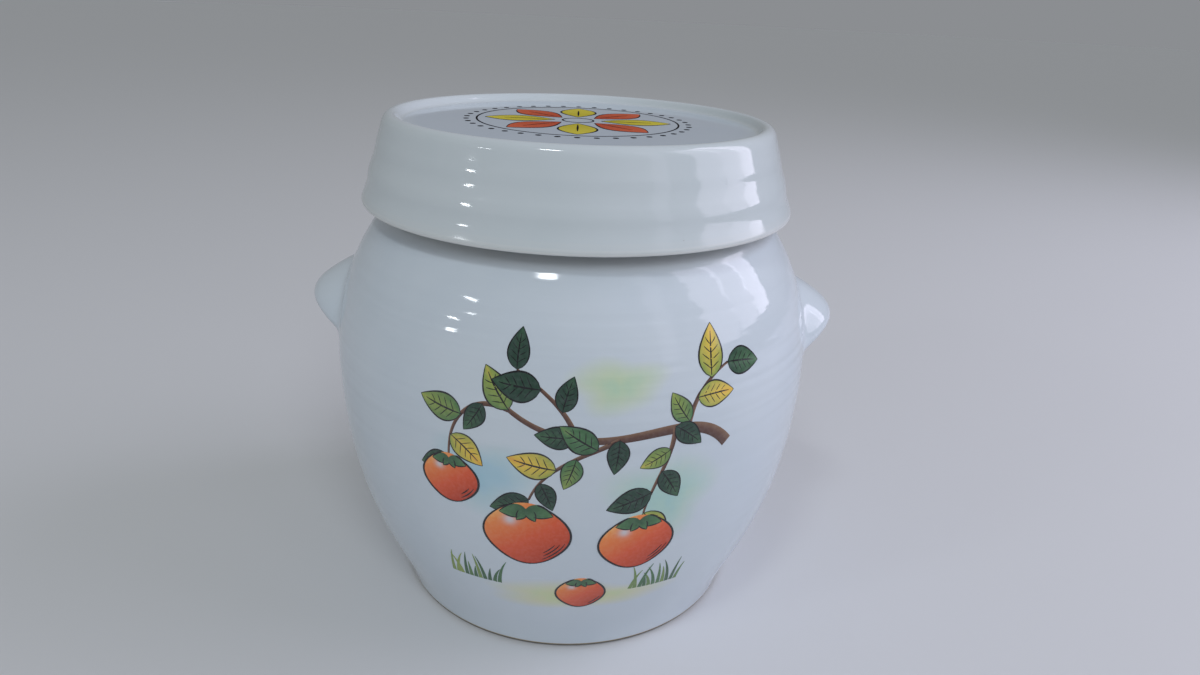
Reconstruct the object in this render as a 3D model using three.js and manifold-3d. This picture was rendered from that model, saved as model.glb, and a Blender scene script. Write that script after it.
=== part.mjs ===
// A lidded ceramic storage jar: a thrown hollow body with a low neck, two clay lugs
// luted to its shoulder, and a cap lid whose flared skirt drops over the neck.
// Millimetres, +Z up, with the origin at the centre of the foot, on the table.

import * as THREE from 'three';
import { mergeVertices } from 'three/addons/utils/BufferGeometryUtils.js';
import Module from 'manifold-3d';

const wasm = await Module();
wasm.setup();

// Foot and base of the jar.
const FOOT_RADIUS = 71.7; // outline of the foot where the wall leaves the table
const FOOT_EDGE = 1.6; // rounding between the wall and the standing ring
const FOOT_RING = 8; // width of the ring that stands on the table
const BASE_RECESS = 2.4; // hollow of the base inside that ring
const RECESS_SLOPE = 2; // run of the slope from the ring into the hollow
const BASE_THICKNESS = 6.5;
const INSIDE_CORNER = 13; // sweep from the floor of the jar into its wall

// Wall of the jar, from the foot through the belly to the shoulder.
const WALL = 5.5;
const BELLY_RADIUS = 95;
const BELLY_HEIGHT = 99.8; // height of the widest circle
const FOOT_LEAN = 4.5; // how far the wall leans out as it leaves the foot
const FOOT_LIFT = 21; // over this rise
const BELLY_SWEEP_DOWN = 59.7; // length of the belly's upright sweep below the widest circle
const BELLY_SWEEP_UP = 23.5; // and above it
const SHOULDER_RISE = 65.4; // from the widest circle to where the shoulder meets the neck
const SHOULDER_RUN = 19.1; // inward run of the shoulder's slope
const SHOULDER_CLIMB = 18.2; // over this climb

// Neck and mouth.
const NECK_RADIUS = 66.3;
const NECK_HOLLOW = 1.9; // inward run of the hollow curve between shoulder and neck
const NECK_HEIGHT = 19.5; // from the end of the shoulder to the top of the rim
const RIM_EDGE = 1.6; // rounding of the rim's two edges

// Lid.
const SEAT_GAP = 0.3; // between the rim and the lid that rests on it
const LID_PLATE = 5.5;
const LID_WALL = 5.5;
const LID_FILLET = 3; // inside corner between plate and skirt
const LID_LIP = 2.2; // rounding of the skirt's lower edge
const SKIRT_DROP = 23; // how far the skirt hangs below the rim of the jar
const NECK_CLEARANCE = 2.35; // between the neck and the top of the skirt
const SHOULDER_CLEARANCE = 5.8; // between the shoulder and the foot of the skirt
const LID_RIM_RISE = 3; // raised edge around the flat top of the lid
const LID_RIM_ROUND = 3.4; // height of the rounding outside the raised edge
const LID_RIM_CREST = 2.6; // width of the rounding's crest
const LID_RIM_SLOPE = 4.5; // run of the curve from the crest to the flat top

// Lugs: rounded pads of clay, tipped up and trimmed to the wall that they sit on.
const LUG_RISE = 15.2; // centre of the pad above the widest circle of the belly
const LUG_ROOT = 9.5; // how deep the centre lies behind the face of the wall
const LUG_REACH = 21.8; // half sizes of the pad, out along its own axis,
const LUG_HALF_LENGTH = 26; // along the wall,
const LUG_HALF_THICKNESS = 13.3; // and across it
const LUG_TIP_ANGLE = THREE.MathUtils.degToRad(21);
const LUG_SQUARENESS = 0.92; // 1 is an ellipsoid, less makes the pad's faces flatter
const LUTE_GAP = 0.3; // joint between a lug and the wall

// Fineness of the curves.
const TURN_STEPS = 48;
const BELLY_STEPS = 9;
const CURVE_STEPS = 4;
const LUG_STEPS = 20;

const shoulderHeight = BELLY_HEIGHT + SHOULDER_RISE;
const shoulderRadius = NECK_RADIUS + NECK_HOLLOW;
const rimHeight = shoulderHeight + NECK_HEIGHT;
const floorHeight = BASE_RECESS + BASE_THICKNESS;

const at = (radius, height) => new THREE.Vector2(radius, height);

/** Points of a rounded corner from one point to another, bending towards the corner point. */
function corner(from, towards, to) {
  return new THREE.QuadraticBezierCurve(from, towards, to).getPoints(CURVE_STEPS);
}

/** Outside of the wall, from the foot up to the foot of the neck, as two swept curves. */
function wallOutline() {
  const lower = new THREE.CubicBezierCurve(
    at(FOOT_RADIUS, 0),
    at(FOOT_RADIUS + FOOT_LEAN, FOOT_LIFT),
    at(BELLY_RADIUS, BELLY_HEIGHT - BELLY_SWEEP_DOWN),
    at(BELLY_RADIUS, BELLY_HEIGHT),
  );
  const upper = new THREE.CubicBezierCurve(
    at(BELLY_RADIUS, BELLY_HEIGHT),
    at(BELLY_RADIUS, BELLY_HEIGHT + BELLY_SWEEP_UP),
    at(shoulderRadius + SHOULDER_RUN, shoulderHeight - SHOULDER_CLIMB),
    at(shoulderRadius, shoulderHeight),
  );
  return [...lower.getPoints(BELLY_STEPS), ...upper.getPoints(BELLY_STEPS).slice(1)];
}

/** Hollow curve that turns the shoulder's slope up into the neck. */
function neckOutline() {
  const climb = (NECK_HOLLOW * SHOULDER_CLIMB) / SHOULDER_RUN;
  const bend = at(NECK_RADIUS, shoulderHeight + climb);
  const end = at(NECK_RADIUS, bend.y + Math.hypot(NECK_HOLLOW, climb));
  return corner(at(shoulderRadius, shoulderHeight), bend, end).slice(1);
}

/** An outline moved sideways, outwards where the distance is positive. */
function offsetOutline(points, distance) {
  return points.map((point, i) => {
    const before = points[Math.max(i - 1, 0)];
    const after = points[Math.min(i + 1, points.length - 1)];
    const along = after.clone().sub(before).normalize();
    return at(point.x + along.y * distance, point.y - along.x * distance);
  });
}

/** Radius of an outline at a height, between its points. */
function radiusAt(outline, height) {
  const i = outline.findIndex((point) => point.y > height);
  const [low, high] = [outline[i - 1], outline[i]];
  return THREE.MathUtils.mapLinear(height, low.y, high.y, low.x, high.x);
}

/** Solid of revolution about Z from an outline that starts and ends on the axis. */
function turned(outline) {
  return new THREE.LatheGeometry(outline, TURN_STEPS).rotateX(Math.PI / 2);
}

const wall = wallOutline();
const outside = [...wall, ...neckOutline()];

/** The hollow body: recessed base, standing ring, belly, neck, rim and inside. */
function bodyGeometry() {
  const ringOuter = FOOT_RADIUS - FOOT_EDGE;
  const ringInner = ringOuter - FOOT_RING;
  const base = [
    at(0, BASE_RECESS),
    at(ringInner - RECESS_SLOPE, BASE_RECESS),
    at(ringInner, 0),
  ];
  const footTop = at(radiusAt(wall, FOOT_EDGE), FOOT_EDGE);
  const foot = corner(at(ringOuter, 0), at(FOOT_RADIUS, 0), footTop);
  const belly = outside.filter((point) => point.y > FOOT_EDGE);

  const mouthRadius = NECK_RADIUS - WALL;
  const rim = [
    ...corner(
      at(NECK_RADIUS, rimHeight - RIM_EDGE),
      at(NECK_RADIUS, rimHeight),
      at(NECK_RADIUS - RIM_EDGE, rimHeight),
    ),
    ...corner(
      at(mouthRadius + RIM_EDGE, rimHeight),
      at(mouthRadius, rimHeight),
      at(mouthRadius, rimHeight - RIM_EDGE),
    ),
  ];

  const inner = offsetOutline(outside, -WALL).filter((point) => point.y > floorHeight + INSIDE_CORNER);
  const heel = inner[0];
  const floorEdge = at(heel.x - INSIDE_CORNER, floorHeight);
  const floor = corner(heel, at(heel.x, floorHeight), floorEdge).slice(1);
  return turned([...base, ...foot, ...belly, ...rim, ...inner.reverse(), ...floor, at(0, floorHeight)]);
}

/** The cap lid, with its own origin on the axis at the underside that rests on the rim. */
function lidGeometry() {
  const skirtHeight = rimHeight - SKIRT_DROP;
  const skirtFoot = -SEAT_GAP - SKIRT_DROP;
  const innerTop = NECK_RADIUS + NECK_CLEARANCE;
  const innerFoot = radiusAt(outside, skirtHeight) + SHOULDER_CLEARANCE;
  const outerTop = innerTop + LID_WALL;
  const outerFoot = innerFoot + LID_WALL;
  const crestHeight = LID_PLATE + LID_RIM_RISE;
  const crownFoot = crestHeight - LID_RIM_ROUND;
  const lean = (outerFoot - outerTop) / (crownFoot - skirtFoot);

  const underside = [
    at(0, 0),
    ...corner(at(innerTop - LID_FILLET, 0), at(innerTop, 0), at(innerTop + lean * LID_FILLET, -LID_FILLET)),
  ];
  const lip = [
    ...corner(
      at(innerFoot - lean * LID_LIP, skirtFoot + LID_LIP),
      at(innerFoot, skirtFoot),
      at(innerFoot + LID_LIP, skirtFoot),
    ),
    ...corner(
      at(outerFoot - LID_LIP, skirtFoot),
      at(outerFoot, skirtFoot),
      at(outerFoot - lean * LID_LIP, skirtFoot + LID_LIP),
    ),
  ];
  const crownRadius = outerTop - lean * LID_RIM_ROUND;
  const crest = at(crownRadius - LID_RIM_CREST, crestHeight);
  const crown = corner(at(outerTop, crownFoot), at(crownRadius, crestHeight), crest);
  const slope = new THREE.CubicBezierCurve(
    crest,
    at(crest.x - LID_RIM_SLOPE / 2, crestHeight),
    at(crest.x - LID_RIM_SLOPE / 2, LID_PLATE),
    at(crest.x - LID_RIM_SLOPE, LID_PLATE),
  );
  return turned([...underside, ...lip, ...crown, ...slope.getPoints(CURVE_STEPS).slice(1), at(0, LID_PLATE)]);
}

/** Closed solid, for cutting, from a geometry: shared points merged, flat slivers dropped. */
function solidOf(geometry) {
  const bare = geometry.clone();
  bare.deleteAttribute('normal');
  bare.deleteAttribute('uv');
  const merged = mergeVertices(bare, 1e-4);
  const corners = merged.index.array;
  const triVerts = [];
  for (let i = 0; i < corners.length; i += 3) {
    const [a, b, c] = corners.subarray(i, i + 3);
    if (a !== b && b !== c && c !== a) triVerts.push(a, b, c);
  }
  return new wasm.Manifold(new wasm.Mesh({
    numProp: 3,
    vertProperties: new Float32Array(merged.attributes.position.array),
    triVerts: new Uint32Array(triVerts),
  }));
}

/** Geometry with flat-shaded faces from a cut solid. */
function geometryOf(solid) {
  const { vertProperties, triVerts } = solid.getMesh();
  const geometry = new THREE.BufferGeometry();
  geometry.setAttribute('position', new THREE.BufferAttribute(new Float32Array(vertProperties), 3));
  geometry.setIndex(new THREE.BufferAttribute(new Uint32Array(triVerts), 1));
  geometry.computeVertexNormals();
  return geometry;
}

/** One lug on the +X side: a squared ellipsoid, tipped up, less the wall and its joint. */
function lugGeometry() {
  const squared = (value) => Math.sign(value) * Math.abs(value) ** LUG_SQUARENESS;
  const pad = new THREE.SphereGeometry(1, LUG_STEPS, LUG_STEPS / 2).rotateX(Math.PI / 2);
  const position = pad.attributes.position;
  for (let i = 0; i < position.count; i += 1) {
    const up = position.getZ(i);
    const level = Math.sqrt(Math.max(1 - up * up, 0));
    const widen = level > 0 ? squared(level) / level : 0;
    position.setXYZ(i, position.getX(i) * widen, position.getY(i) * widen, squared(up));
  }
  const height = BELLY_HEIGHT + LUG_RISE;
  pad.scale(LUG_REACH, LUG_HALF_LENGTH, LUG_HALF_THICKNESS);
  pad.rotateY(-LUG_TIP_ANGLE);
  pad.translate(radiusAt(outside, height) - LUG_ROOT, 0, height);

  const joint = offsetOutline(outside, LUTE_GAP);
  const core = turned([at(0, joint[0].y), ...joint, at(0, joint.at(-1).y)]);
  return geometryOf(solidOf(pad).subtract(solidOf(core)));
}

/** A named piece of glazed clay. */
function claywork(name, geometry, color) {
  const material = new THREE.MeshStandardMaterial({ color, roughness: 0.16, metalness: 0 });
  const mesh = new THREE.Mesh(geometry, material);
  mesh.name = name;
  return mesh;
}

const BODY_GLAZE = 0xe3e8ec;
const LID_GLAZE = 0xe4e8e5;

const jar = new THREE.Group();
jar.add(claywork('jar_body', bodyGeometry(), BODY_GLAZE));

const lugRight = claywork('lug_right', lugGeometry(), BODY_GLAZE);
const lugLeft = claywork('lug_left', lugGeometry(), BODY_GLAZE);
lugLeft.rotation.z = Math.PI;
jar.add(lugRight, lugLeft);

const lid = claywork('lid', lidGeometry(), LID_GLAZE);
lid.position.z = rimHeight + SEAT_GAP;
jar.add(lid);

export default jar;
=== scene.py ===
"""A lidded ceramic jar in its glaze: thrown body with two lugs, cap lid and painted decoration.

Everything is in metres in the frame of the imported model: +Z up, the origin at the centre of the
foot, the painted front towards -Y and the lugs along X.
"""

import logging
import math
import random
from dataclasses import asdict, dataclass, field
from enum import Enum
from typing import Any, Callable, Iterator, Mapping, Sequence, Union

import bpy
from mathutils import Matrix, Vector


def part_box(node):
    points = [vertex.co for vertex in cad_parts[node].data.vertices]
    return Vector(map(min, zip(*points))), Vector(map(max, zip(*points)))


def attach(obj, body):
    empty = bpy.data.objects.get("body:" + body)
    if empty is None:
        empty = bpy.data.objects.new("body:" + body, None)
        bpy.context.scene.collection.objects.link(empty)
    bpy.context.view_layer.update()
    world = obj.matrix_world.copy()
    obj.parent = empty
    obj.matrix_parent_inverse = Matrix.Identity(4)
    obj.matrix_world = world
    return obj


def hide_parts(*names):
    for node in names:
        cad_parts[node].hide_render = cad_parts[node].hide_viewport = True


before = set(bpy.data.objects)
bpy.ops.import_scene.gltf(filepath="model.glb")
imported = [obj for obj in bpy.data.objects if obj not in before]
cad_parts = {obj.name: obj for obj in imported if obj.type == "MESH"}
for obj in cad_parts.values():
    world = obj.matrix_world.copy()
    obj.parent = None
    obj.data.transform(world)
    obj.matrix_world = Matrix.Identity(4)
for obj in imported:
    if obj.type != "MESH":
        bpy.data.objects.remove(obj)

log = logging.getLogger("jar")

MM = 0.001

Point = tuple[float, float]
Colour = tuple[float, float, float]
Operand = Union["Field", float, int]
Reach = Callable[[float], float]
Shade = Callable[[float, float], float]
Rim = Callable[[float], Point]


def srgb(red: int, green: int, blue: int) -> Colour:
    """Turn a display colour of 0 to 255 into the linear colour that shaders use.

    Args:
        red, green, blue: The display values.

    Returns:
        The linear colour.
    """
    def linear(value: int) -> float:
        """One linear value."""
        share = value / 255
        return share / 12.92 if share <= 0.04045 else ((share + 0.055) / 1.055) ** 2.4
    return linear(red), linear(green), linear(blue)


class Field:
    """A node socket that adds Math nodes when it is used in an expression."""

    def __init__(self, graph: "Graph", socket: bpy.types.NodeSocket) -> None:
        """Wrap an output socket of a graph."""
        self.graph = graph
        self.socket = socket

    def _math(self, operation: str, *operands: Operand) -> "Field":
        """Add one Math node on the operands, in order."""
        return self.graph.field("ShaderNodeMath", {"operation": operation}, dict(enumerate(operands)))

    def __add__(self, other: Operand) -> "Field":
        """Sum."""
        return self._math("ADD", self, other)

    def __radd__(self, other: Operand) -> "Field":
        """Sum, with the number first."""
        return self._math("ADD", other, self)

    def __sub__(self, other: Operand) -> "Field":
        """Difference."""
        return self._math("SUBTRACT", self, other)

    def __rsub__(self, other: Operand) -> "Field":
        """Difference, with the number first."""
        return self._math("SUBTRACT", other, self)

    def __mul__(self, other: Operand) -> "Field":
        """Product."""
        return self._math("MULTIPLY", self, other)

    def __rmul__(self, other: Operand) -> "Field":
        """Product, with the number first."""
        return self._math("MULTIPLY", other, self)

    def __truediv__(self, other: Operand) -> "Field":
        """Quotient."""
        return self._math("DIVIDE", self, other)

    def __rtruediv__(self, other: Operand) -> "Field":
        """Quotient, with the number first."""
        return self._math("DIVIDE", other, self)

    def __neg__(self) -> "Field":
        """The value with its sign turned."""
        return self._math("MULTIPLY", self, -1.0)

    def call(self, operation: str, *operands: Operand) -> "Field":
        """Any other Math operation on this value, such as SINE or SMOOTH_MAX."""
        return self._math(operation, self, *operands)

    def clamped(self) -> "Field":
        """The value held between 0 and 1."""
        return self.call("MAXIMUM", 0.0).call("MINIMUM", 1.0)


class Graph:
    """A node tree that is built node by node through one method."""

    def __init__(self, tree: bpy.types.NodeTree) -> None:
        """Take over an empty or existing node tree."""
        self.tree = tree

    def add(
        self,
        kind: str,
        settings: Mapping[str, Any] | None = None,
        sockets: Mapping[int | str, Any] | None = None,
    ) -> bpy.types.Node:
        """Add a node.

        Args:
            kind: The node's type.
            settings: Its own settings, and "stops" for a colour ramp, set first.
            sockets: Values or links of its input sockets, by name or place, and a list for a
                socket that takes several links.

        Returns:
            The new node.
        """
        node = self.tree.nodes.new(kind)
        for name, value in (settings or {}).items():
            if name == "stops":
                self._set_stops(node.color_ramp, value)
            else:
                setattr(node, name, value)
        for key, value in (sockets or {}).items():
            for each in value if isinstance(value, list) else [value]:
                if isinstance(each, Field):
                    self.tree.links.new(each.socket, node.inputs[key])
                else:
                    node.inputs[key].default_value = each
        return node

    def field(
        self,
        kind: str,
        settings: Mapping[str, Any] | None = None,
        sockets: Mapping[int | str, Any] | None = None,
        output: int | str = 0,
    ) -> Field:
        """Add a node and return one of its outputs as a field.

        Args:
            kind, settings, sockets: As for add.
            output: Name or place of the output socket.

        Returns:
            The output.
        """
        return Field(self, self.add(kind, settings, sockets).outputs[output])

    def combine(self, x: Operand, y: Operand, z: Operand) -> Field:
        """Vector from three values."""
        return self.field("ShaderNodeCombineXYZ", None, {0: x, 1: y, 2: z})

    def split(self, vector: Field) -> tuple[Field, Field, Field]:
        """The three values of a vector."""
        node = self.add("ShaderNodeSeparateXYZ", None, {0: vector})
        return Field(self, node.outputs[0]), Field(self, node.outputs[1]), Field(self, node.outputs[2])

    def scaled(self, vector: Field, scale: Operand) -> Field:
        """Vector times a number."""
        return self.field("ShaderNodeVectorMath", {"operation": "SCALE"}, {0: vector, "Scale": scale})

    def plus(self, first: Field, second: Field) -> Field:
        """Sum of two vectors."""
        return self.field("ShaderNodeVectorMath", {"operation": "ADD"}, {0: first, 1: second})

    def cloud(self, place: Field, scale: float, detail: float) -> Field:
        """Cloudy values about 0.5."""
        return self.field("ShaderNodeTexNoise", None, {"Vector": place, "Scale": scale, "Detail": detail})

    def mix_colour(self, factor: Operand, first: Field | Colour, second: Field | Colour) -> Field:
        """Blend two colours.

        Args:
            factor: How far the blend goes from the first colour to the second.
            first, second: The colours.

        Returns:
            The blended colour.
        """
        def paint(colour: Field | Colour) -> Any:
            """A colour as its socket takes it."""
            return colour if isinstance(colour, Field) else (*colour, 1.0)
        sockets = {0: factor, 6: paint(first), 7: paint(second)}
        return self.field("ShaderNodeMix", {"data_type": "RGBA"}, sockets, output=2)

    @staticmethod
    def _set_stops(ramp: bpy.types.ColorRamp, stops: Sequence[tuple[float, Colour]]) -> None:
        """Give a colour ramp its stops.

        Args:
            ramp: A new ramp.
            stops: Its positions and colours, from 0 to 1.
        """
        while len(ramp.elements) < len(stops):
            ramp.elements.new(1.0)
        for element, (position, colour) in zip(ramp.elements, stops):
            element.position = position
            element.color = (*colour, 1.0)


class Socket(Enum):
    """Types of a geometry tree's inputs."""

    GEOMETRY = "NodeSocketGeometry"
    NUMBER = "NodeSocketFloat"
    COUNT = "NodeSocketInt"
    OBJECT = "NodeSocketObject"
    MATERIAL = "NodeSocketMaterial"


class ShapeTree(Graph):
    """A geometry node tree with named inputs, which shapes objects as a modifier."""

    WELD = 1e-7
    CORNER = math.radians(50)

    def __init__(self, name: str, inputs: Mapping[str, Socket]) -> None:
        """Make the tree.

        Args:
            name: Name of the tree.
            inputs: The names and types of its inputs, after the geometry.
        """
        super().__init__(bpy.data.node_groups.new(name, "GeometryNodeTree"))
        faces = self.tree.interface
        faces.new_socket(name="Geometry", in_out="INPUT", socket_type=Socket.GEOMETRY.value)
        self.identifiers = {
            key: faces.new_socket(name=key, in_out="INPUT", socket_type=kind.value).identifier
            for key, kind in inputs.items()
        }
        faces.new_socket(name="Geometry", in_out="OUTPUT", socket_type=Socket.GEOMETRY.value)
        self.source = self.add("NodeGroupInput")

    def given(self, name: str) -> Field:
        """One of the tree's inputs."""
        return Field(self, self.source.outputs[name])

    def named(self, name: str) -> Field:
        """A number that the geometry carries on its points."""
        return self.field("GeometryNodeInputNamedAttribute", {"data_type": "FLOAT"}, {"Name": name})

    def store(self, geometry: Field, name: str, value: Field, domain: str = "POINT") -> Field:
        """Put a number on geometry.

        Args:
            geometry: The geometry.
            name: Name under which it carries the number.
            value: The number.
            domain: Whether points or instances carry it.

        Returns:
            Geometry that carries the number.
        """
        settings = {"data_type": "FLOAT", "domain": domain}
        sockets = {"Geometry": geometry, "Name": name, "Value": value}
        return self.field("GeometryNodeStoreNamedAttribute", settings, sockets)

    def placed(self, geometry: Field, position: Field) -> Field:
        """Geometry with its points at new positions."""
        return self.field("GeometryNodeSetPosition", None, {"Geometry": geometry, "Position": position})

    def welded(self, geometry: Field) -> Field:
        """Geometry with its meeting points merged."""
        sockets = {"Geometry": geometry, "Distance": self.WELD}
        return self.field("GeometryNodeMergeByDistance", None, sockets)

    def smooth(self, geometry: Field) -> Field:
        """Shade geometry smooth over its curves and sharp over its corners.

        Args:
            geometry: The geometry.

        Returns:
            The shaded geometry.
        """
        soft = self.field("GeometryNodeSetShadeSmooth", {"domain": "FACE"}, {0: geometry, 2: True})
        angle = self.field("GeometryNodeInputMeshEdgeAngle")
        sharp = angle.call("GREATER_THAN", self.CORNER)
        return self.field("GeometryNodeSetShadeSmooth", {"domain": "EDGE"}, {0: soft, 1: sharp, 2: False})

    def shape_of(self, name: str) -> Field:
        """Geometry of the object that an input names."""
        sockets = {"Object": self.given(name)}
        return self.field("GeometryNodeObjectInfo", {"transform_space": "ORIGINAL"}, sockets, "Geometry")

    def random(self, low: Operand, high: Operand, seed: Operand) -> Field:
        """A seeded random number for each point or copy."""
        sockets = {2: low, 3: high, "Seed": seed}
        return self.field("FunctionNodeRandomValue", {"data_type": "FLOAT"}, sockets, output=1)

    def deliver(self, geometry: Field) -> None:
        """End the tree with real geometry in the material that is given.

        Args:
            geometry: What the tree has made.
        """
        solid = self.field("GeometryNodeRealizeInstances", None, {0: geometry})
        sockets = {"Geometry": solid, "Material": self.given("Material")}
        self.add("NodeGroupOutput", None, {0: self.field("GeometryNodeSetMaterial", None, sockets)})

    def apply_to(self, piece: bpy.types.Object, values: Mapping[str, Any]) -> None:
        """Add the tree to an object as a modifier.

        Args:
            piece: The object.
            values: Values of the tree's inputs, by name.
        """
        modifier = piece.modifiers.new(self.tree.name, "NODES")
        modifier.node_group = self.tree
        for name, value in values.items():
            modifier[self.identifiers[name]] = value


def flat_object(
    name: str,
    points: Sequence[Sequence[float]],
    edges: Sequence[tuple[int, int]],
    faces: Sequence[Sequence[int]],
    marks: Mapping[str, Sequence[float]],
) -> bpy.types.Object:
    """Make an object from points that carry named numbers.

    Args:
        name: Name of the object.
        points, edges, faces: The mesh.
        marks: Numbers for each point, by name.

    Returns:
        The object, linked to the scene.
    """
    mesh = bpy.data.meshes.new(name)
    mesh.from_pydata(points, edges, faces)
    for mark, values in marks.items():
        mesh.attributes.new(mark, "FLOAT", "POINT").data.foreach_set("value", values)
    piece = bpy.data.objects.new(name, mesh)
    bpy.context.scene.collection.objects.link(piece)
    return piece


def settle(piece: bpy.types.Object) -> bpy.types.Object:
    """Turn an object's modifiers into a plain mesh.

    Args:
        piece: The object.

    Returns:
        The same object, with its result as its mesh and no modifier.
    """
    graph = bpy.context.evaluated_depsgraph_get()
    mesh = bpy.data.meshes.new_from_object(piece.evaluated_get(graph), depsgraph=graph)
    piece.modifiers.clear()
    piece.data = mesh
    mesh.name = piece.name
    log.info("%s: %d points, %d faces", piece.name, len(mesh.vertices), len(mesh.polygons))
    return piece


def discard(*pieces: bpy.types.Object) -> None:
    """Remove objects that only served as patterns."""
    for piece in pieces:
        bpy.data.objects.remove(piece)


def bezier(controls: Sequence[Point], steps: int) -> list[Point]:
    """Points of a curve of any degree.

    Args:
        controls: Its start, control points and end.
        steps: Number of steps.

    Returns:
        The points, both ends included.
    """
    def at(share: float) -> Point:
        """Find one point.

        Args:
            share: The share of the way along the curve.

        Returns:
            The point.
        """
        level = list(controls)
        while len(level) > 1:
            level = [(a[0] + (b[0] - a[0]) * share, a[1] + (b[1] - a[1]) * share)
                     for a, b in zip(level, level[1:])]
        return level[0]
    return [at(i / steps) for i in range(steps + 1)]


def offset(points: Sequence[Point], distance: Reach) -> list[Point]:
    """A path moved sideways, to the right of its direction where the distance is positive.

    Args:
        points: The path.
        distance: How far it moves, by the share of the way along it.

    Returns:
        The moved points.
    """
    last = len(points) - 1
    moved = []
    for i, (x, z) in enumerate(points):
        before, after = points[max(i - 1, 0)], points[min(i + 1, last)]
        dx, dz = after[0] - before[0], after[1] - before[1]
        share = distance(i / last) / math.hypot(dx, dz)
        moved.append((x + dz * share, z - dx * share))
    return moved


class Outline:
    """A turned outline from the axis out, round the ware and back to the axis.

    Each point carries its glaze, between the levels named here, and whether it is on the thrown outside.
    """

    # Dirt with painted contact shade, at the foot.
    SOILED = -1.0
    BARE = 0.0
    FULL = 1.0
    # The level that paints the dark reflection on the lid's flat top.
    POOLED = 2.0

    def __init__(self) -> None:
        """Start with no points."""
        self.points: list[Point] = []
        self.glaze: list[float] = []
        self.outside: list[float] = []

    def run(self, points: Sequence[Point], glaze: float = FULL, outside: float = 0.0) -> None:
        """Add a stretch of points.

        Args:
            points: The stretch.
            glaze: Its glaze.
            outside: 1 where the maker's rings and the lugs show.
        """
        self.points.extend(points)
        self.glaze.extend([glaze] * len(points))
        self.outside.extend([outside] * len(points))

    def as_object(self, name: str) -> bpy.types.Object:
        """Make an object of the outline's edges, in the XZ plane.

        Args:
            name: Name of the object.

        Returns:
            The object, whose points carry their glaze and side.
        """
        corners = [(radius, 0.0, height) for radius, height in self.points]
        edges = [(i, i + 1) for i in range(len(corners) - 1)]
        return flat_object(name, corners, edges, [], {"glaze": self.glaze, "outside": self.outside})


@dataclass(frozen=True)
class Lugs:
    """The pair of clay ears on the shoulder, with round tips and drooping ends."""

    reach: float = 13.28 * MM
    tip_height: float = 120.5 * MM
    root_above: float = 13.5 * MM
    root_below: float = 8.15 * MM
    wall_radius: float = 92 * MM
    half_length: float = 26 * MM
    roundness: float = 0.61
    droop: float = 8 * MM
    unevenness: float = 1.1 * MM
    fillet: float = 3 * MM

    def inputs(self) -> dict[str, float]:
        """The sizes as inputs of the tree that turns the ware."""
        return {f"Lug {name.replace('_', ' ')}": size for name, size in asdict(self).items()}


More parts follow.
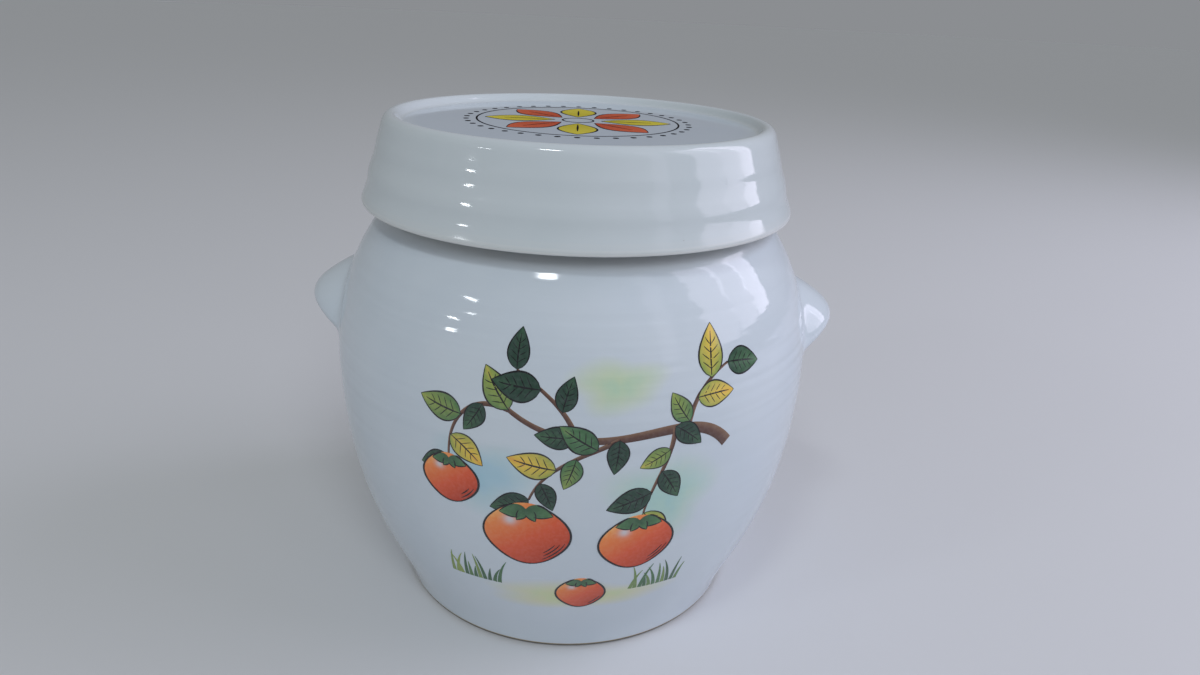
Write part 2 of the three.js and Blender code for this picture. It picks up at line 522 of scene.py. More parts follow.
class TurnedWare(ShapeTree):
    """Tree that turns an outline about Z, with throwing rings and a pair of lugs."""

    RINGS_FROM = 40 * MM
    RINGS_RUN = 90 * MM
    RING_DRIFT = 0.35
    LUG_SKIN = 1.5 * MM
    TAPER = 0.25
    THINNEST = 0.001
    INPUTS = {
        "Columns": Socket.COUNT,
        "Crowding": Socket.NUMBER,
        "Ring height": Socket.NUMBER,
        "Ring spacing": Socket.NUMBER,
        "Ring seed": Socket.NUMBER,
        **dict.fromkeys(Lugs().inputs(), Socket.NUMBER),
        "Material": Socket.MATERIAL,
    }

    def __init__(self) -> None:
        """Build the tree: a grid whose rows are the outline's points and whose columns are turns."""
        super().__init__("Turned ware", self.INPUTS)
        outline = self.given("Geometry")
        rows = self.field("GeometryNodeAttributeDomainSize", {"component": "MESH"}, {0: outline})
        columns = self.given("Columns")
        sockets = {"Size X": 1.0, "Size Y": 1.0, "Vertices X": columns + 1, "Vertices Y": rows}
        grid = self.field("GeometryNodeMeshGrid", None, sockets)

        across, along, _ = self.split(self.field("GeometryNodeInputPosition"))
        row = ((along + 0.5) * (rows - 1)).call("ROUND")
        turn = (across + 0.5) * math.tau
        angle = turn - self.given("Crowding") * (turn * 2).call("SINE") / 2

        point = self._sampled(outline, "FLOAT_VECTOR", self.field("GeometryNodeInputPosition"), row)
        radius, _, height = self.split(point)
        outside = self._sampled(outline, "FLOAT", self.named("outside"), row)
        glaze = self._sampled(outline, "FLOAT", self.named("glaze"), row)

        cosine, sine = angle.call("COSINE"), angle.call("SINE")
        level = height + cosine.call("SIGN") * self.given("Lug unevenness")
        rise = self._lug_rise(sine, level)
        wall = 1 - (rise / self.LUG_SKIN).clamped()
        rings = self._rings(cosine, sine, height) * wall
        full = radius + outside * (rise + rings)
        ware = self.store(grid, "glaze", glaze)
        ware = self.placed(ware, self.combine(full * cosine, full * sine, height))
        self.deliver(self.smooth(self.welded(ware)))

    def _sampled(self, outline: Field, kind: str, value: Field, row: Field) -> Field:
        """Read a value of the outline.

        Args:
            outline: The outline.
            kind: The value's type.
            value: The value on the outline's points.
            row: Which point is read.

        Returns:
            The value at that point.
        """
        settings = {"data_type": kind, "domain": "POINT"}
        sockets = {"Geometry": outline, "Value": value, "Index": row}
        return self.field("GeometryNodeSampleIndex", settings, sockets)

    def _rings(self, cosine: Field, sine: Field, height: Field) -> Field:
        """Raise the throwing rings, which run nearly level round the ware and fade to the foot.

        Args:
            cosine, sine: The place round the ware.
            height: Height on the ware.

        Returns:
            How far the rings stand out from the wall.
        """
        level = height / self.given("Ring spacing")
        place = self.combine(cosine * self.RING_DRIFT, sine * self.RING_DRIFT, level)
        sockets = {"Vector": place, "W": self.given("Ring seed"), "Scale": 1.0, "Detail": 1.0}
        noise = self.field("ShaderNodeTexNoise", {"noise_dimensions": "4D"}, sockets)
        fade = ((height - self.RINGS_FROM) / self.RINGS_RUN).clamped()
        return (noise - 0.5) * 2 * self.given("Ring height") * fade

    def _lug_rise(self, sine: Field, height: Field) -> Field:
        """How far a lug stands out from the wall.

        Its upright section is a triangle with a round tip. Its level slices are bows, shorter towards
        its upper and lower root, and its ends droop.

        Args:
            sine: Sine of the angle round the ware, which is 0 at the middle of both lugs.
            height: Height on the lug.

        Returns:
            The rise, with a hollow fillet round its root.
        """
        around = sine.call("ARCSINE") * self.given("Lug wall radius")
        half_length = self.given("Lug half length")
        along = around / half_length
        up = height - self.given("Lug tip height") + self.given("Lug droop") * along * along
        above = up.call("MAXIMUM", 0.0) / self.given("Lug root above")
        below = up.call("MINIMUM", 0.0) / self.given("Lug root below")
        roundness = self.given("Lug roundness")
        blunt = roundness * roundness
        root = (blunt + 1).call("SQRT")
        section = (root - (above * above + below * below + blunt).call("SQRT")) / (root - roundness)
        length = half_length * section.call("MAXIMUM", self.THINNEST).call("POWER", self.TAPER)
        across = around / length
        bow = 1 - across * across
        share = section * bow.call("MAXIMUM", 0.0) + bow.call("MINIMUM", 0.0) / 2
        return (share * self.given("Lug reach")).call("SMOOTH_MAX", 0.0, self.given("Lug fillet"))


@dataclass(frozen=True)
class GlazeSkin:
    """Fine unevenness of a glossy glaze: level throwing lines and a faint orange peel."""

    line_spacing: float = 1.9 * MM
    line_depth: float = 0.006 * MM
    line_drift: float = 20.0
    line_rise: float = 140 * MM
    peel_scale: float = 260.0
    peel_depth: float = 0.0035 * MM
    grit: float = 8.0

    def normal(self, graph: Graph, place: Field, bare: Operand = 0.0) -> Field:
        """Bend the surface's normal.

        Args:
            graph: The material's graph.
            place: Object coordinates.
            bare: 1 where the clay is bare and gritty.

        Returns:
            The normal for the shader.
        """
        x, y, z = graph.split(place)
        wide = self.line_drift * self.line_spacing
        lines = graph.cloud(graph.combine(x / wide, y / wide, z / self.line_spacing), 1.0, 1.0)
        peel = graph.cloud(place, self.peel_scale, 2.0)
        lines = lines * self.line_depth * (z / self.line_rise).clamped() * (1 - bare)
        height = lines + peel * self.peel_depth * (1 + bare * self.grit)
        return graph.field("ShaderNodeBump", None, {"Strength": 1.0, "Distance": 1.0, "Height": height})


class Finish(Graph):
    """A material's graph, which ends in one glossy shader."""

    IOR = 1.52

    def __init__(self, name: str) -> None:
        """Make an empty material.

        Args:
            name: Name of the material.
        """
        self.material = bpy.data.materials.new(name)
        self.material.use_nodes = True
        super().__init__(self.material.node_tree)
        self.tree.nodes.clear()
        self.place = self.field("ShaderNodeTexCoord", output="Object")

    def carried(self, name: str) -> Field:
        """A number that the surface's points carry."""
        return self.field("ShaderNodeAttribute", {"attribute_name": name}, output="Fac")

    def close(
        self,
        colour: Field,
        roughness: Field,
        normal: Field,
        gloss: float = 0.5,
    ) -> bpy.types.Material:
        """Put the shader on.

        Args:
            colour, roughness, normal: What varies over the surface.
            gloss: How strongly it mirrors, 0.5 as glass does.

        Returns:
            The finished material.
        """
        sockets = {"Base Color": colour, "Roughness": roughness, "Normal": normal}
        sockets |= {"IOR": self.IOR, "Specular IOR Level": gloss}
        shader = self.field("ShaderNodeBsdfPrincipled", None, sockets)
        self.add("ShaderNodeOutputMaterial", None, {"Surface": shader})
        return self.material


@dataclass(frozen=True)
class Glaze:
    """A glossy white glaze over pale clay, thin along edges; above full it turns to a painted dark bluer
    reflection, and below bare to dirt with painted contact shade at the foot.
    """

    name: str
    colour: Colour
    clouded: Colour
    # Colour of the painted dark reflection on the lid's flat top.
    pooled: Colour
    bare: Colour
    skin: GlazeSkin = GlazeSkin()
    roughness: float = 0.07
    bare_roughness: float = 0.6
    bare_shade: float = 0.82
    # Colour of the foot's edge: dirt with painted contact shade.
    soiled: Colour = srgb(98, 95, 90)
    sheen_range: float = 0.03
    cloud_scale: float = 26.0
    cloud_start: float = 0.35
    cloud_gain: float = 1.6
    pool_start: float = 0.7
    pool_gain: float = 0.6
    speck_scale: float = 240.0
    speck_size: float = 0.035
    speck_share: float = 0.015
    speck_strength: float = 0.5
    speck_colour: Colour = srgb(120, 108, 92)

    def clouds(self, finish: Finish) -> Field:
        """The pattern in which the glaze varies."""
        return finish.cloud(finish.place, self.cloud_scale, 3.0)

    def tint(self, finish: Finish, cloud: Field) -> Field:
        """Colour of a full coat."""
        share = ((cloud - self.cloud_start) * self.cloud_gain).clamped()
        return finish.mix_colour(share, self.colour, self.clouded)

    def sheen(self, cloud: Field) -> Field:
        """Roughness of a full coat."""
        return self.roughness + (cloud - 0.5) * self.sheen_range

    def material(self) -> bpy.types.Material:
        """Make the material.

        Returns:
            A material whose colour clouds a little, with fine lines and a glossy uneven skin.
        """
        finish = Finish(self.name)
        coat = finish.carried("glaze")
        bare = 1 - coat.clamped()
        # Above full glaze the colour turns to a painted dark reflection.
        reflection_mask = (coat - 1).clamped()
        # Below bare glaze the colour turns to dirt with painted contact shade.
        soil_shade_mask = (-coat).clamped()
        cloud = self.clouds(finish)
        grit = finish.cloud(finish.place, self.skin.peel_scale, 2.0)

        cells = finish.add("ShaderNodeTexVoronoi", None, {"Vector": finish.place, "Scale": self.speck_scale})
        chosen = finish.split(Field(finish, cells.outputs["Color"]))[0].call("LESS_THAN", self.speck_share)
        speck = Field(finish, cells.outputs["Distance"]).call("LESS_THAN", self.speck_size) * chosen

        # The painted dark reflection, mottled a little.
        reflection_mask = (reflection_mask * (cloud * self.pool_gain + self.pool_start)).clamped()
        colour = finish.mix_colour(reflection_mask, self.tint(finish, cloud), self.pooled)
        colour = finish.mix_colour(speck * self.speck_strength, colour, self.speck_colour)
        clay = finish.mix_colour(grit, self.bare, tuple(share * self.bare_shade for share in self.bare))
        clay = finish.mix_colour(soil_shade_mask, clay, self.soiled)
        colour = finish.mix_colour(bare, colour, clay)
        roughness = self.sheen(cloud) + bare * (self.bare_roughness - self.roughness)
        return finish.close(colour, roughness, self.skin.normal(finish, finish.place, bare))


@dataclass(frozen=True)
class Enamel:
    """A fired print colour, which runs through a few tones and fades into the glaze at soft edges."""

    name: str
    stops: tuple[tuple[float, Colour], ...]
    ground: Glaze
    grain: float = 0.12
    grain_scale: float = 700.0
    density: float = 1.05
    roughness: float = 0.13
    roughness_range: float = 0.06
    gloss: float = 0.5

    def material(self) -> bpy.types.Material:
        """Make the material.

        Returns:
            A material that reads the tone, hue and cover carried by the artwork's points.
        """
        finish = Finish(self.name)
        cloud = self.ground.clouds(finish)
        noise = finish.cloud(finish.place, self.grain_scale, 3.0)
        mottled = (finish.carried("tone") + finish.carried("hue") + (noise - 0.5) * self.grain).clamped()
        paint = finish.field("ShaderNodeValToRGB", {"stops": self.stops}, {"Fac": mottled})
        coat = (finish.carried("cover") * (self.density - noise * self.grain)).clamped()
        colour = finish.mix_colour(coat, self.ground.tint(finish, cloud), paint)
        sheen = self.ground.sheen(cloud)
        roughness = sheen + coat * (self.roughness + (noise - 0.5) * self.roughness_range - sheen)
        return finish.close(colour, roughness, self.ground.skin.normal(finish, finish.place), self.gloss)


BODY_GLAZE = Glaze(
    "body glaze",
    colour=srgb(204, 214, 223),
    clouded=srgb(195, 207, 218),
    pooled=srgb(186, 198, 211),
    bare=srgb(176, 160, 128),
)
LID_GLAZE = Glaze(
    "lid glaze",
    colour=srgb(200, 209, 214),
    clouded=srgb(192, 203, 208),
    # The lid's painted dark reflection, on its flat top.
    pooled=srgb(179, 192, 206),
    bare=srgb(225, 224, 219),
    bare_shade=0.95,
)
INK = Enamel("ink", ((0.0, srgb(20, 20, 24)), (1.0, srgb(52, 48, 50))), BODY_GLAZE)
BARK = Enamel("bark brown", (
    (0.0, srgb(66, 46, 44)),
    (0.5, srgb(98, 70, 60)),
    (1.0, srgb(150, 118, 92)),
), BODY_GLAZE)
FRUIT = Enamel("fruit orange", (
    (0.0, srgb(176, 58, 38)),
    (0.4, srgb(220, 92, 54)),
    (0.75, srgb(236, 138, 74)),
    (1.0, srgb(250, 208, 128)),
), BODY_GLAZE)
LEAF = Enamel("leaf green", (
    (0.0, srgb(44, 70, 58)),
    (0.35, srgb(78, 120, 80)),
    (0.6, srgb(146, 164, 84)),
    (0.8, srgb(226, 194, 80)),
    (1.0, srgb(222, 124, 62)),
), BODY_GLAZE)
WASH = Enamel("pale wash", (
    (0.0, srgb(150, 196, 214)),
    (0.35, srgb(160, 206, 184)),
    (0.7, srgb(202, 216, 136)),
    (1.0, srgb(240, 210, 104)),
), BODY_GLAZE, grain=0.3, grain_scale=180.0)
LID_INK = Enamel("lid ink", INK.stops, LID_GLAZE, gloss=0.0)
LID_YELLOW = Enamel("lid yellow", (
    (0.0, srgb(176, 164, 52)),
    (1.0, srgb(200, 188, 74)),
), LID_GLAZE, gloss=0.0)
LID_RED = Enamel("lid red", (
    (0.0, srgb(168, 74, 50)),
    (1.0, srgb(194, 98, 70)),
), LID_GLAZE, gloss=0.0)


@dataclass
class JarBody:
    """The thrown body with its two lugs, glazed as one shell."""

    belly_radius: float
    rim_height: float
    foot_radius: float = 71.7 * MM
    foot_edge: float = 1.6 * MM
    foot_ring: float = 8 * MM
    base_recess: float = 2.4 * MM
    recess_slope: float = 2 * MM
    base_thickness: float = 6.5 * MM
    inside_corner: float = 13 * MM
    wall: float = 5.5 * MM
    belly_height: float = 99.8 * MM
    foot_lean: float = 4.5 * MM
    foot_lift: float = 21 * MM
    sweep_down: float = 59.7 * MM
    sweep_up: float = 23.5 * MM
    shoulder_height: float = 165.2 * MM
    shoulder_run: float = 19.1 * MM
    shoulder_climb: float = 18.2 * MM
    neck_radius: float = 66.3 * MM
    neck_hollow: float = 1.9 * MM
    rim_edge: float = 1.6 * MM
    glaze_line: float = 2.5 * MM
    # Under the lid the glaze thins so that the beige clay paints the lid's shade on the shoulder; the rim is
    # thinly glazed as well.
    thin_height: float = 154 * MM
    thin_run: float = 4 * MM
    thinning: float = 0.25
    # The foot's edge is dirt with painted contact shade.
    foot_coat: float = -0.3
    lugs: Lugs = Lugs()
    ring_height: float = 0.22 * MM
    ring_spacing: float = 2.8 * MM
    ring_seed: float = 3.0
    columns: int = 240
    crowding: float = 0.55
    lower_steps: int = 150
    upper_steps: int = 120
    bend_steps: int = 8
    rim_steps: int = 5
    inside_stride: int = 6

    @classmethod
    def from_frame(cls) -> "JarBody":
        """The body at the sizes of its solids."""
        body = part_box("jar_body")[1]
        return cls(body.y, body.z)

    def wall_outline(self) -> list[Point]:
        """Draw the outside of the wall.

        Returns:
            Its points, from the foot to the end of the shoulder.
        """
        shoulder = self.neck_radius + self.neck_hollow
        lower = bezier([
            (self.foot_radius, 0.0),
            (self.foot_radius + self.foot_lean, self.foot_lift),
            (self.belly_radius, self.belly_height - self.sweep_down),
            (self.belly_radius, self.belly_height),
        ], self.lower_steps)
        upper = bezier([
            (self.belly_radius, self.belly_height),
            (self.belly_radius, self.belly_height + self.sweep_up),
            (shoulder + self.shoulder_run, self.shoulder_height - self.shoulder_climb),
            (shoulder, self.shoulder_height),
        ], self.upper_steps)
        return lower + upper[1:]

    def neck_outline(self) -> list[Point]:
        """Draw the hollow curve from the shoulder up into the neck.

        Returns:
            Its points, without the one that the shoulder ends in.
        """
        climb = self.neck_hollow * self.shoulder_climb / self.shoulder_run
        bend = self.shoulder_height + climb
        end = bend + math.hypot(self.neck_hollow, climb)
        start = (self.neck_radius + self.neck_hollow, self.shoulder_height)
        return bezier([start, (self.neck_radius, bend), (self.neck_radius, end)], self.bend_steps)[1:]

    def outline(self) -> Outline:
        """Draw the whole outline.

        Returns:
            The base, the foot ring, the wall, the neck, the rim and the inside.
        """
        ring_outer = self.foot_radius - self.foot_edge
        ring_inner = ring_outer - self.foot_ring
        wall = self.wall_outline()
        outside = wall + self.neck_outline()
        foot_top = next(point for point in wall if point[1] > self.foot_edge)
        line = Outline()
        line.run([(0.0, self.base_recess), (ring_inner - 2 * self.recess_slope, self.base_recess)])
        recess_edge = (ring_inner - self.recess_slope, self.base_recess)
        line.run([recess_edge, (ring_inner, 0.0), (ring_outer, 0.0)], Outline.BARE)
        foot_bend = bezier([(ring_outer, 0.0), (self.foot_radius, 0.0), foot_top], self.bend_steps)
        # The foot's edge is darkened: dirt with painted contact shade.
        line.run(foot_bend[1:-1], Outline.SOILED)
        line.run([foot_top], self.foot_coat)
        for point in outside:
            if point[1] > foot_top[1]:
                line.run([point], self._coat(point[1]), 1.0)

        mouth = self.neck_radius - self.wall
        below = self.rim_height - self.rim_edge
        outer_edge = [(self.neck_radius, below), (self.neck_radius, self.rim_height),
                      (self.neck_radius - self.rim_edge, self.rim_height)]
        inner_edge = [(mouth + self.rim_edge, self.rim_height), (mouth, self.rim_height), (mouth, below)]
        line.run([(self.neck_radius, below - self.glaze_line)], 1 - self.thinning)
        line.run(bezier(outer_edge, self.rim_steps) + bezier(inner_edge, self.rim_steps), 1 - self.thinning)
        line.run([(mouth, below - self.glaze_line)])

        floor = self.base_recess + self.base_thickness
        inside = offset(outside, lambda share: -self.wall)
        inner = [point for point in inside if point[1] > floor + self.inside_corner][::-self.inside_stride]
        heel = inner[-1]
        line.run(inner)
        heel_bend = [heel, (heel[0], floor), (heel[0] - self.inside_corner, floor)]
        line.run(bezier(heel_bend, self.bend_steps)[1:])
        line.run([(0.0, floor)])
        return line

    def _coat(self, height: float) -> float:
        """Glaze on the wall, which thins under the lid so that the clay paints the lid's shade there."""
        return 1 - self.thinning * min(max((height - self.thin_height) / self.thin_run, 0.0), 1.0)

    def build(self, ware: TurnedWare) -> bpy.types.Object:
        """Make the glazed shell.

        Args:
            ware: The tree that turns outlines.

        Returns:
            The shell, riding on the jar and standing for its three solids.
        """
        shell = self.outline().as_object("jar_shell")
        ware.apply_to(shell, {
            "Columns": self.columns,
            "Crowding": self.crowding,
            "Ring height": self.ring_height,
            "Ring spacing": self.ring_spacing,
            "Ring seed": self.ring_seed,
            **self.lugs.inputs(),
            "Material": BODY_GLAZE.material(),
        })
        settle(shell)
        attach(shell, "jar")
        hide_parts("jar_body", "lug_left", "lug_right")
        return shell


@dataclass
class CapLid:
    """The lid: a flat plate with a raised edge and a flared skirt."""

    foot_radius: float
    foot_height: float
    crest_height: float
    plate: float = 5.5 * MM
    wall: float = 5.5 * MM
    fillet: float = 3 * MM
    lip: float = 1.2 * MM
    lip_bulge: float = 0.55 * MM
    top_radius: float = 74.15 * MM
    rim_rise: float = 3 * MM
    rim_round: float = 3.4 * MM
    rim_crest: float = 2.6 * MM
    rim_slope: float = 4.5 * MM
    # Where the painted dark reflection on the top reaches full strength, in from the raised edge.
    pool_edge: float = 5 * MM
    groove_height: float = 9.5 * MM
    groove_width: float = 11 * MM
    groove_depth: float = 0.24 * MM
    hidden_coat: float = 0.2
    fillet_coat: float = 0.6
    inner_lip_coat: float = 0.1
    # Thin glaze at the lip and lowest skirt; the pale clay there is thin glaze and also a painted highlight
    # along the lip.
    outer_lip_coat: float = 0.5
    skirt_coats: Point = (0.75, 0.92)
    # Glaze levels that paint the dark reflection on the flat top.
    pool_coats: Point = (1.4, 1.85)
    ring_height: float = 0.08 * MM
    ring_spacing: float = 2.8 * MM
    ring_seed: float = 8.0
    columns: int = 240
    fillet_steps: int = 6
    inner_lip_steps: int = 5
    outer_lip_steps: int = 6
    skirt_steps: int = 44
    crown_steps: int = 10

    @classmethod
    def from_frame(cls) -> "CapLid":
        """The lid at the sizes of its solid."""
        low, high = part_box("lid")
        return cls(high.y, low.z, high.z)

    @property
    def field_height(self) -> float:
        """Height of the flat top inside the raised edge."""
        return self.crest_height - self.rim_rise

    def outline(self) -> Outline:
        """Draw the whole outline.

        Returns:
            The underside, the inside of the skirt, the lip, the skirt, the raised edge and the top.
        """
        seat = self.field_height - self.plate
        inner_top = self.top_radius - self.wall
        outer_foot = self.foot_radius + self.lip_bulge
        inner_foot = outer_foot - self.wall
        crown_foot = self.crest_height - self.rim_round
        lean = (outer_foot - self.top_radius) / (crown_foot - self.foot_height)
        lip_top = self.foot_height + self.lip
        inner_lip = (inner_foot - lean * self.lip, lip_top)
        outer_lip = (outer_foot - lean * self.lip, lip_top)
        crown_radius = self.top_radius - lean * self.rim_round
        crest = (crown_radius - self.rim_crest, self.crest_height)
        middle = crest[0] - self.rim_slope / 2
        end = (crest[0] - self.rim_slope, self.field_height)

        line = Outline()
        line.run([(0.0, seat), (inner_top - 3 * self.fillet, seat)], self.hidden_coat)
        fillet_end = (inner_top + lean * self.fillet, seat - self.fillet)
        fillet_bend = [(inner_top - self.fillet, seat), (inner_top, seat), fillet_end]
        line.run(bezier(fillet_bend, self.fillet_steps), self.fillet_coat)
        line.run([(inner_foot - 2 * lean * self.lip, lip_top + self.lip)], self.hidden_coat)
        inner_bend = [inner_lip, (inner_foot, self.foot_height), (inner_foot + self.lip, self.foot_height)]
        line.run(bezier(inner_bend, self.inner_lip_steps), self.inner_lip_coat)
        outer_bend = [(outer_foot - self.lip, self.foot_height), (outer_foot, self.foot_height), outer_lip]
        line.run(bezier(outer_bend, self.outer_lip_steps)[:-1], self.outer_lip_coat)

        skirt = [(radius + self._groove(height), height)
                 for radius, height in bezier([outer_lip, (self.top_radius, crown_foot)], self.skirt_steps)]
        # Thin glaze low on the skirt, which is also a painted highlight above the lip.
        line.run(skirt[:2], self.skirt_coats[0], 1.0)
        line.run(skirt[2:5], self.skirt_coats[1], 1.0)
        line.run(skirt[5:-1], Outline.FULL, 1.0)
        crown_bend = [(self.top_radius, crown_foot), (crown_radius, self.crest_height), crest]
        line.run(bezier(crown_bend, self.crown_steps))
        slope = [crest, (middle, self.crest_height), (middle, self.field_height), end]
        line.run(bezier(slope, self.crown_steps)[1:-1])
        # The flat top carries the painted dark reflection.
        line.run([end], self.pool_coats[0])
        line.run([(end[0] - self.pool_edge, self.field_height)], self.pool_coats[1])
        line.run([(0.0, self.field_height)], Outline.POOLED)
        return line

    def _groove(self, height: float) -> float:
        """How far the skirt swells above a shallow turned groove and draws in below it."""
        along = (height - self.foot_height - self.groove_height) / self.groove_width
        return self.groove_depth * math.sin(math.tau * along) * math.exp(-along * along)

    def build(self, ware: TurnedWare) -> bpy.types.Object:
        """Make the glazed lid.

        Args:
            ware: The tree that turns outlines.

        Returns:
            The lid, riding on its body and standing for its solid.
        """
        lid = self.outline().as_object("lid_shell")
        ware.apply_to(lid, {
            "Columns": self.columns,
            "Crowding": 0.0,
            "Ring height": self.ring_height,
            "Ring spacing": self.ring_spacing,
            "Ring seed": self.ring_seed,
            "Material": LID_GLAZE.material(),
        })
        settle(lid)
        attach(lid, "lid")
        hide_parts("lid")
        return lid


class Ground(Enum):
    """What a fired film lies on."""

    WALL = "wall"
    TOP = "top"


class FiredFilm(ShapeTree):
    """Tree that lays flat artwork on a glazed surface as a thin closed film."""

    INPUTS = {
        "Surface": Socket.OBJECT,
        "Wrap radius": Socket.NUMBER,
        "Middle across": Socket.NUMBER,
        "Middle up": Socket.NUMBER,
        "Lift": Socket.NUMBER,
        "Sink": Socket.NUMBER,
        "Material": Socket.MATERIAL,
    }
    FAR = 1.0
    STACK_STEP = 0.012 * MM

    def __init__(self, ground: Ground) -> None:
        """Build the tree: rays find the surface, and the artwork is thickened there.

        Args:
            ground: Whether the artwork wraps round the wall or lies on a level top.
        """
        super().__init__(f"Fired film on the {ground.value}", self.INPUTS)
        x, _, z = self.split(self.field("GeometryNodeInputPosition"))
        across, up = x + self.given("Middle across"), z + self.given("Middle up")
        if ground is Ground.WALL:
            angle = across / self.given("Wrap radius") - math.pi / 2
            inwards = self.combine(-angle.call("COSINE"), -angle.call("SINE"), 0.0)
            start = self.plus(self.combine(0.0, 0.0, up), self.scaled(inwards, -self.FAR))
        else:
            inwards = self.combine(0.0, 0.0, -1.0)
            start = self.combine(across, up, self.FAR)
        sockets = {
            "Target Geometry": self.shape_of("Surface"),
            "Source Position": start,
            "Ray Direction": inwards,
            "Ray Length": self.FAR,
        }
        ray = self.add("GeometryNodeRaycast", None, sockets)
        hit, normal = Field(self, ray.outputs["Hit Position"]), Field(self, ray.outputs["Hit Normal"])
        sink = self.given("Sink")
        base = self.placed(self.given("Geometry"), self.plus(hit, self.scaled(normal, -sink)))
        height = self.given("Lift") + sink + self.named("stack") * self.STACK_STEP
        sockets = {"Mesh": base, "Offset Scale": height, "Individual": False}
        top = self.field("GeometryNodeExtrudeMesh", {"mode": "FACES"}, sockets)
        underside = self.field("GeometryNodeFlipFaces", None, {"Mesh": base})
        film = self.field("GeometryNodeJoinGeometry", None, {"Geometry": [top, underside]})
        self.deliver(self.smooth(self.welded(film)))


class LeafSpray(ShapeTree):
    """Tree that sets leaves along twigs, turn about to either side."""

    INPUTS = {
        "Leaf": Socket.OBJECT,
        "Spacing": Socket.NUMBER,
        "Spread": Socket.NUMBER,
        "Smallest": Socket.NUMBER,
        "Largest": Socket.NUMBER,
        "Hue range": Socket.NUMBER,
        "Seed": Socket.COUNT,
        "Material": Socket.MATERIAL,
    }
    LAYERS = 4
    WOBBLE = 0.35

    def __init__(self) -> None:
        """Build the tree: points along each twig, and a leaf on each point."""
        super().__init__("Leaf spray", self.INPUTS)
        seed = self.given("Seed")
        twigs = self.field("GeometryNodeMeshToCurve", None, {"Mesh": self.given("Geometry")})
        sockets = {"Curve": twigs, "Length": self.given("Spacing")}
        spaced = self.field("GeometryNodeResampleCurve", {"mode": "LENGTH"}, sockets)
        index = self.field("GeometryNodeInputIndex")
        side = 1 - index.call("MODULO", 2.0) * 2
        tangent_x, _, tangent_z = self.split(self.field("GeometryNodeInputTangent"))
        spread = self.given("Spread") + self.random(-self.WOBBLE, self.WOBBLE, seed)
        turn = side * spread - tangent_z.call("ARCTAN2", tangent_x)
        sockets = {
            "Points": spaced,
            "Instance": self.shape_of("Leaf"),
            "Rotation": self.combine(0.0, turn, 0.0),
            "Scale": self.random(self.given("Smallest"), self.given("Largest"), seed + 1),
        }
        leaves = self.field("GeometryNodeInstanceOnPoints", None, sockets)
        hue = self.given("Hue range")
        leaves = self.store(leaves, "hue", self.random(-hue, hue, seed + 2), "INSTANCE")
        leaves = self.store(leaves, "stack", index.call("MODULO", float(self.LAYERS)), "INSTANCE")
        self.deliver(leaves)


class Wreath(ShapeTree):
    """Tree that sets copies of a flat pattern in a ring, pointing outwards."""

    INPUTS = {
        "Count": Socket.COUNT,
        "Radius": Socket.NUMBER,
        "Start angle": Socket.NUMBER,
        "Material": Socket.MATERIAL,
    }

    def __init__(self) -> None:
        """Build the tree: points in a ring, and a copy on each point."""
        super().__init__("Wreath", self.INPUTS)
        count, radius = self.given("Count"), self.given("Radius")
        angle = self.field("GeometryNodeInputIndex") / count * math.tau + self.given("Start angle")
        place = self.combine(angle.call("COSINE") * radius, 0.0, angle.call("SINE") * radius)
        points = self.field("GeometryNodePoints", None, {"Count": count, "Position": place})
        turn = self.combine(0.0, -angle, 0.0)
        sockets = {"Points": points, "Instance": self.given("Geometry"), "Rotation": turn}
        self.deliver(self.field("GeometryNodeInstanceOnPoints", None, sockets))


def steady(value: float) -> Shade:
    """The same value all over a sheet."""
    return lambda along, across: value


def brushed(width: float) -> Reach:
    """Width of a brush stroke that starts and ends fine."""
    return lambda share: width * (0.35 + 0.65 * math.sin(math.pi * share))


